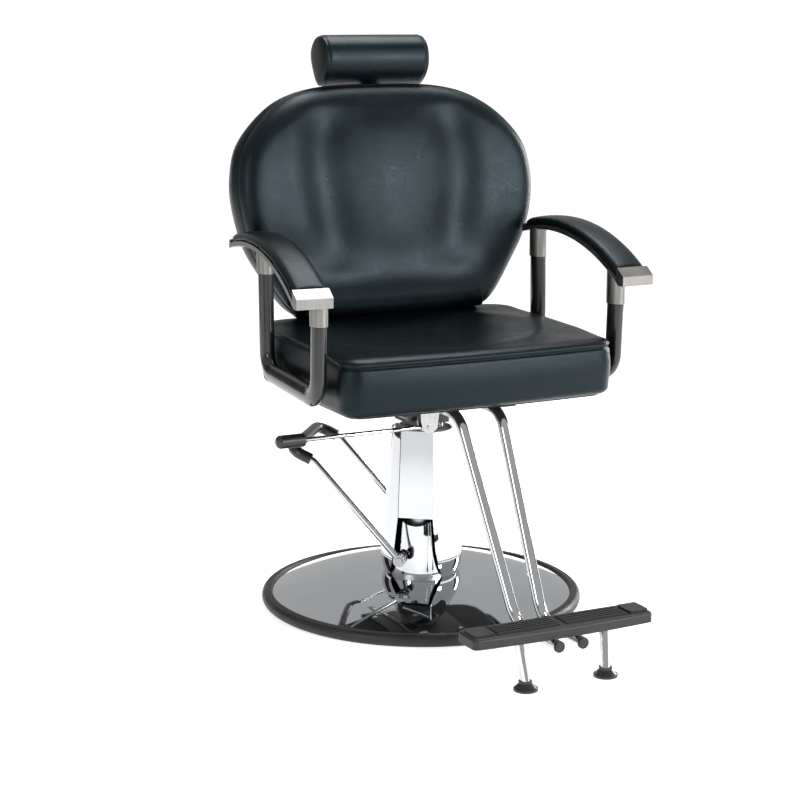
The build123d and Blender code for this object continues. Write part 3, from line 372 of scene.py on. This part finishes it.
def seat_seam(y):
    """Height of the welt between the seat's border and its top panel."""
    return 0.499 + 0.012 * step_up(y, -0.235, -0.10)


def seat_top(x, y):
    """Height of the seat's top: a crest all round and a shallow hollow for the sitter."""
    crest = 0.5155 + 0.0065 * step_up(y, -0.22, 0.02) + 0.0030 * step_up(y, 0.09, 0.13)
    hollow = 0.018 * hill(x, 0, 0.150) * hill(y, -0.035, 0.115)
    rim = 0.0030 * hill(np.hypot(x / 1.25, (y + 0.035) / 0.95), 0.172, 0.018)
    return crest - hollow + rim


def build_seat():
    low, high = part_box("seat_cushion")
    edge = seat_outline(low, high)
    out = outward(edge)
    centre = edge.mean(0)
    bottom = low.z + 0.002
    seam = seat_seam(edge[:, 1])
    rings = []

    def ring(flat, height):
        rings.append(np.column_stack([flat, np.broadcast_to(height, len(flat))]))

    inner = edge - out * 0.020
    for share in (0.1, 0.4, 0.7, 0.9):
        ring(centre + (inner - centre) * share, bottom)
    for angle in np.radians((0, 22, 45, 68, 90)):
        inset = 0.018 * (1 - math.sin(angle))
        ring(edge - out * inset, bottom + SEAT_LOW_ROLL * (1 - math.cos(angle)))
    for share in np.linspace(0.12, 0.92, 9):
        bulge = SEAT_BULGE * math.sin(math.pi * share) - 0.0015
        ring(edge + out * bulge, bottom + SEAT_LOW_ROLL + (seam - bottom - SEAT_LOW_ROLL) * share)
    ring(edge - out * 0.0012, seam - 0.0030)
    ring(edge - out * SEAM_DEPTH, seam - 0.0008)
    ring(edge - out * SEAM_DEPTH, seam + 0.0008)
    ring(edge - out * 0.0008, seam + SEAT_SEAM_TOP)
    for angle in np.radians((12, 24, 36, 48, 60, 72, 84)):
        inset = 0.0005 + 0.026 * (1 - math.cos(angle))
        flat = edge - out * inset
        rise = seat_top(flat[:, 0], flat[:, 1]) - seam - SEAT_SEAM_TOP
        ring(flat, seam + SEAT_SEAM_TOP + rise * math.sin(angle))
    inner = edge - out * 0.030
    for share in np.linspace(1, 0.04, 26):
        flat = centre + (inner - centre) * share
        ring(flat, seat_top(flat[:, 0], flat[:, 1]))
    piece = loft("seat_pad", rings)
    finish_soft(piece, "seat", "seat_cushion")
    welt = np.column_stack([edge - out * 0.0003, seam + 0.0062])
    stitches("seat_stitching", welt, np.column_stack([out, np.full(len(out), 0.3)]), "seat")
    return piece


# ---- Back ----
BACK_COUNT = 260         # points round the back's edge
BACK_BELLY = 0.005       # how far the whole front swells in its middle
BACK_SEAM_WIDTH = 0.0066 # how much of the depth the seam takes up
# share of the height, share of the half-width
BACK_SHAPE = ((0.0, 0.52), (0.010, 0.62), (0.06, 0.715), (0.19, 0.84), (0.316, 0.937),
              (0.49, 0.997), (0.62, 1.0), (0.75, 0.953), (0.87, 0.813), (0.95, 0.633),
              (0.991, 0.38), (1.0, 0.0))


def back_outline(node):
    """The back's edge seen from the front, as (x, z), from shares of its box."""
    low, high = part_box(node)
    half = high.x + 0.002
    tall = high.z - low.z
    side = [(half * wide, low.z + tall * up) for up, wide in BACK_SHAPE]
    other = [(-x, z) for x, z in reversed(side[:-1])]
    return smooth_loop(side + other, BACK_COUNT)


def back_rear(z):
    """Y of the flat rear panel's front at a height."""
    low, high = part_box("back_board")
    share = (z - low.z) / (high.z - low.z)
    return low.y + 0.012 + (high.y - 0.012 - low.y) * share


def back_front(x, z):
    """Y of the padded front before its folds."""
    low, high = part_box("back_cushion")
    lean = low.y + 0.004 + 0.100 * (z - low.z)
    curl = 0.62 * np.clip(z - 0.735, 0, 1) ** 2
    wings = -0.010 * step_up(np.abs(x), 0.10, 0.27) * step_up(z, 0.62, 0.72)
    return lean + curl + wings


def back_folds(x, z):
    """Soft upright folds: a full centre between two valleys, fading out above and below."""
    reach = step_up(z, 0.58, 0.70) * (1 - step_up(z, 0.86, 0.935))
    lane = 0.118 + 0.030 * hill(z, 0.80, 0.10)
    valley = hill(np.abs(x), lane, 0.042) + 0.15 * hill(np.abs(x), 0.225, 0.030)
    belly = hill(x, 0, 0.075) + 0.5 * hill(np.abs(x), 0.190, 0.045)
    low_roll = 0.006 * hill(z, 0.600, 0.030) * (1 - hill(np.abs(x), 0.25, 0.06))
    return reach * (0.0085 * valley - 0.0065 * belly) - low_roll


def build_back():
    edge = back_outline("back_cushion")
    out = outward(edge)
    centre = np.array([0.0, edge[:, 1].mean() + 0.02])
    rings = []

    def ring(flat, depth):
        rings.append(np.column_stack([flat[:, 0], depth, flat[:, 1]]))

    inner = edge - out * 0.034
    front = back_front(edge[:, 0], edge[:, 1])
    rear = back_rear(edge[:, 1])
    room = rear - front
    turn = np.minimum(0.026, 0.45 * room)
    for share in np.linspace(0.04, 1, 30):
        flat = centre + (inner - centre) * share
        face = back_front(flat[:, 0], flat[:, 1]) + back_folds(flat[:, 0], flat[:, 1])
        belly = BACK_BELLY * hill(flat[:, 0], 0, 0.2) * hill(flat[:, 1], 0.74, 0.16)
        ring(flat, face - belly)
    for angle in np.radians((12, 26, 40, 54, 68, 82)):
        inset = 0.030 * (1 - math.sin(angle)) + 0.001
        flat = edge - out * inset
        face = back_front(flat[:, 0], flat[:, 1])
        ring(flat, face + turn * (1 - math.cos(angle)))
    seam = front + turn + 0.001
    ring(edge - out * 0.0010, seam)
    ring(edge - out * SEAM_DEPTH, seam + 0.0024)
    ring(edge - out * SEAM_DEPTH, seam + 0.0040)
    ring(edge - out * 0.0010, seam + BACK_SEAM_WIDTH)
    border = rear - 0.010 - seam - BACK_SEAM_WIDTH
    for share in np.linspace(0.15, 1.0, 8):
        bulge = 0.003 * math.sin(math.pi * share) - 0.001
        ring(edge + out * bulge, seam + BACK_SEAM_WIDTH + border * share)
    for angle in np.radians((30, 60, 90)):
        inset = 0.009 * (1 - math.cos(angle)) + 0.001
        ring(edge - out * inset, rear - 0.010 + 0.009 * math.sin(angle))
    inner = edge - out * 0.014
    for share in np.linspace(1, 0.05, 8):
        flat = centre + (inner - centre) * share
        ring(flat, back_rear(flat[:, 1]) - 0.0005)
    piece = loft("back_pad", rings)
    finish_soft(piece, "backrest", "back_cushion")
    thread = edge - out * 0.0030
    path = np.column_stack([thread[:, 0], seam - 0.0036, thread[:, 1]])
    lift = np.column_stack([out[:, 0], np.full(len(out), -1.0), out[:, 1]])
    stitches("back_stitching", path, lift, "backrest")
    return piece


def build_rear_panel():
    """Leather-covered panel with a piped edge that closes the back."""
    edge = back_outline("back_rear_panel")
    low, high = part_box("back_rear_panel")
    out = outward(edge)
    centre = np.array([0.0, edge[:, 1].mean()])
    slope = (high.y - low.y - 0.004) / (high.z - low.z)

    def face(z):
        return low.y + slope * (z - low.z)

    rings = []
    profile = [(0.03, 0.0), (0.5, 0.0), (0.9, 0.0), (0.997, 0.0), (1.0, 0.0016), (0.997, 0.0036),
               (0.985, 0.0048), (0.972, 0.0046), (0.962, 0.0030), (0.952, 0.0036), (0.93, 0.0042),
               (0.85, 0.0042), (0.6, 0.0042), (0.3, 0.0042), (0.03, 0.0042)]
    for share, depth in profile:
        flat = centre + (edge - out * 0.001 - centre) * share
        rings.append(np.column_stack([flat[:, 0], face(flat[:, 1]) + depth, flat[:, 1]]))
    piece = loft("rear_panel", rings)
    piece.data.materials.append(HIDE)
    for polygon in piece.data.polygons:
        polygon.use_smooth = True
    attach(piece, "backrest")
    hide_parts("back_rear_panel")
    return piece


# ---- Headrest ----
HEAD_COUNT = 96


def build_headrest():
    low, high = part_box("headrest_cushion")
    deep, tall = high.y - low.y, high.z - low.z
    shares = ((0.54, 0.03), (0.20, 0.20), (0.02, 0.48), (0.10, 0.80), (0.41, 0.975), (0.78, 0.90),
              (0.985, 0.62), (0.80, 0.22))
    section = smooth_loop([(low.y + deep * a, low.z + tall * b) for a, b in shares], HEAD_COUNT)
    middle = section.mean(0)
    half = high.x - 0.003
    rings = []

    def ring(x, share):
        flat = middle + (section - middle) * share
        rings.append(np.column_stack([np.full(len(flat), x), flat]))

    end = [(0.06, 0.0), (0.35, 0.0), (0.65, -0.0006), (0.85, -0.0020), (0.93, -0.0040),
           (0.962, -0.0060), (0.955, -0.0078), (0.958, -0.0092), (0.985, -0.0115)]
    for share, back in end:
        ring(-half - back, share)
    for x in np.linspace(-half + 0.016, half - 0.016, 34):
        sag = 0.010 * (abs(x) / half) ** 3
        ring(x, 1.0 - sag)
    for share, back in reversed(end):
        ring(half + back, share)
    piece = loft("headrest_pad", rings)
    finish_soft(piece, "headrest", "headrest_cushion")
    for side in (-1, 1):
        flat = middle + (section - middle) * 0.992
        path = np.column_stack([np.full(len(flat), side * (half - 0.0128)), flat])
        up = np.column_stack([np.zeros(len(flat)), outward(section)])
        stitches(f"headrest_stitching_{'left' if side > 0 else 'right'}", path, up, "headrest")
    return piece


# ---- Armrest pads ----
def build_arm_pad(side):
    """Pad moulded over the armrest, crowned across and turned down at its edges."""
    node = nodes[f"armrest_pad_{side}"]
    piece = node.copy()
    piece.data = node.data.copy()
    piece.name = f"arm_pad_{side}"
    for key in list(piece.keys()):
        del piece[key]
    piece.parent = None
    piece.data.materials.clear()
    bpy.context.scene.collection.objects.link(piece)
    bpy.context.view_layer.objects.active = piece
    weld = piece.modifiers.new("weld", "WELD")
    weld.merge_threshold = 0.00002
    remesh = piece.modifiers.new("remesh", "REMESH")
    remesh.mode = "VOXEL"
    remesh.voxel_size = 0.0032
    relax = piece.modifiers.new("relax", "SMOOTH")
    relax.factor = 0.6
    relax.iterations = 8
    solid = piece.evaluated_get(bpy.context.evaluated_depsgraph_get())
    mesh = bpy.data.meshes.new_from_object(solid)
    piece.modifiers.clear()
    piece.data = mesh
    crown_pad(piece)
    finish_soft(piece, "seat", f"armrest_pad_{side}")
    return piece


PAD_CROWN = 0.004


def crown_pad(piece):
    """Raises the pad's upper face towards the middle of its width."""
    co = np.array([v.co for v in piece.data.vertices])
    normals = np.array([v.normal for v in piece.data.vertices])
    line = np.polyfit(co[:, 1], co[:, 0], 1)
    across = co[:, 0] - np.polyval(line, co[:, 1])
    half = np.abs(across).max()
    crown = np.clip(1 - (across / half) ** 2, 0, 1)
    upward = np.clip(normals[:, 2], 0, 1)
    co[:, 2] += PAD_CROWN * crown * upward
    piece.data.vertices.foreach_set("co", co.ravel())
    piece.data.update()


# ---- Studio ----
FLOOR_HALF = 30.0
FLOOR_GLOW = 0.60        # keeps the floor as pale as the backdrop
CARD_RISE = 1.2          # half of a dark card's height
WORLD_LIGHT = 0.52       # strength of the room's light on the chair
BACKDROP_LIGHT = 1.1     # strength of the same room as the camera sees it
# name, place, target, size, power
SOFT_LIGHTS = (
    ("key", (1.9, -3.6, 1.55), (0, 0, 0.75), (0.8, 1.0), 120),
    ("side", (3.2, 0.7, 1.1), (0, 0, 0.7), (0.6, 1.6), 70),
    ("left", (-3.2, -1.4, 1.6), (0, 0, 0.6), (0.6, 1.4), 25),
    ("top", (0.7, 0.6, 3.0), (0, 0, 0.6), (1.4, 0.8), 45),
)
# name, place, width
DARK_CARDS = (
    ("card_left", (-3.0, -0.2, 1.2), 0.5),
    ("card_right", (4.2, 0.3, 1.2), 1.5),
    ("card_rear", (-1.9, 2.9, 1.2), 1.5),
)


def build_floor():
    mesh = bpy.data.meshes.new("floor")
    corners = [(-FLOOR_HALF, -FLOOR_HALF), (FLOOR_HALF, -FLOOR_HALF), (FLOOR_HALF, FLOOR_HALF),
               (-FLOOR_HALF, FLOOR_HALF)]
    mesh.from_pydata([(x, y, -0.0005) for x, y in corners], [], [(0, 1, 2, 3)])
    floor = bpy.data.objects.new("floor", mesh)
    bpy.context.scene.collection.objects.link(floor)
    material, tree, principled = shader("floor", roughness=0.9)
    cloudy = noise(tree, spot(tree), 1.5, 3.0)
    stops = [(0.3, (0.90, 0.90, 0.90)), (0.7, (0.93, 0.93, 0.93))]
    tree.links.new(ramp(tree, cloudy, stops), principled.inputs["Base Color"])
    principled.inputs["Emission Color"].default_value = (1, 1, 1, 1)
    principled.inputs["Emission Strength"].default_value = FLOOR_GLOW
    mesh.materials.append(material)


def soft_light(name, place, target, size, power, colour=(1, 1, 1)):
    data = bpy.data.lights.new(name, "AREA")
    data.shape = "RECTANGLE"
    data.size, data.size_y = size
    data.energy = power
    data.color = colour
    lamp = bpy.data.objects.new(name, data)
    lamp.location = place
    heading = Vector(target) - Vector(place)
    lamp.rotation_euler = heading.to_track_quat("-Z", "Y").to_euler()
    bpy.context.scene.collection.objects.link(lamp)


def dark_card(name, place, width):
    """A black studio card, out of the camera's sight, that gives bright metal its contrast."""
    across = Vector((-place[1], place[0], 0)).normalized() * width / 2
    corners = [Vector(place) + across * a + Vector((0, 0, b)) for a, b in
               ((-1, -CARD_RISE), (1, -CARD_RISE), (1, CARD_RISE), (-1, CARD_RISE))]
    mesh = bpy.data.meshes.new(name)
    mesh.from_pydata([tuple(c) for c in corners], [], [(0, 1, 2, 3)])
    material, tree, principled = shader(name, roughness=1.0)
    cloth = noise(tree, spot(tree), 40.0)
    stops = [(0.3, (0.010, 0.010, 0.011)), (0.7, (0.016, 0.016, 0.017))]
    tree.links.new(ramp(tree, cloth, stops), principled.inputs["Base Color"])
    mesh.materials.append(material)
    card = bpy.data.objects.new(name, mesh)
    card.visible_camera = False
    card.visible_shadow = False
    card.visible_diffuse = False
    bpy.context.scene.collection.objects.link(card)


def light_studio():
    world = bpy.data.worlds.new("studio")
    bpy.context.scene.world = world
    world.use_nodes = True
    background = world.node_tree.nodes["Background"]
    background.inputs["Color"].default_value = (1.0, 1.0, 1.0, 1)
    background.inputs["Strength"].default_value = WORLD_LIGHT
    backdrop = world.node_tree.nodes.new("ShaderNodeBackground")
    backdrop.inputs["Color"].default_value = (1.0, 1.0, 1.0, 1)
    backdrop.inputs["Strength"].default_value = BACKDROP_LIGHT
    path = world.node_tree.nodes.new("ShaderNodeLightPath")
    choice = world.node_tree.nodes.new("ShaderNodeMixShader")
    links = world.node_tree.links
    links.new(path.outputs["Is Camera Ray"], choice.inputs[0])
    links.new(background.outputs[0], choice.inputs[1])
    links.new(backdrop.outputs[0], choice.inputs[2])
    links.new(choice.outputs[0], world.node_tree.nodes["World Output"].inputs["Surface"])
    for name, place, target, size, power in SOFT_LIGHTS:
        soft_light(name, place, target, size, power)
    for name, place, width in DARK_CARDS:
        dark_card(name, place, width)
    scene = bpy.context.scene
    scene.view_settings.view_transform = "Standard"


# ---- Camera ----
VIEW_AZIMUTH = -27.19
VIEW_ELEVATION = 11.62
VIEW_DISTANCE = 3.6422
VIEW_ROLL = 0.31
AIM = Vector((0, 0, 0.3881))
FOCAL_SHARE = 2.4556     # focal length over the picture's width


def place_camera():
    data = bpy.data.cameras.new("camera")
    camera = bpy.data.objects.new("camera", data)
    bpy.context.scene.collection.objects.link(camera)
    data.sensor_width = 36.0
    data.lens = data.sensor_width * FOCAL_SHARE
    data.shift_x, data.shift_y = -0.0276, -0.0053
    azimuth, elevation = math.radians(VIEW_AZIMUTH), math.radians(VIEW_ELEVATION)
    back = Vector((math.sin(azimuth) * math.cos(elevation),
                   -math.cos(azimuth) * math.cos(elevation), math.sin(elevation)))
    camera.location = AIM + back * VIEW_DISTANCE
    facing = (-back).to_track_quat("-Z", "Y").to_matrix().to_4x4()
    roll = Matrix.Rotation(math.radians(VIEW_ROLL), 4, "Z")
    camera.rotation_euler = (facing @ roll).to_euler()
    bpy.context.scene.camera = camera


dress_frame()
build_seat()
build_back()
build_rear_panel()
build_headrest()
for arm_side in ("left", "right"):
    build_arm_pad(arm_side)
build_floor()
light_studio()
place_camera()
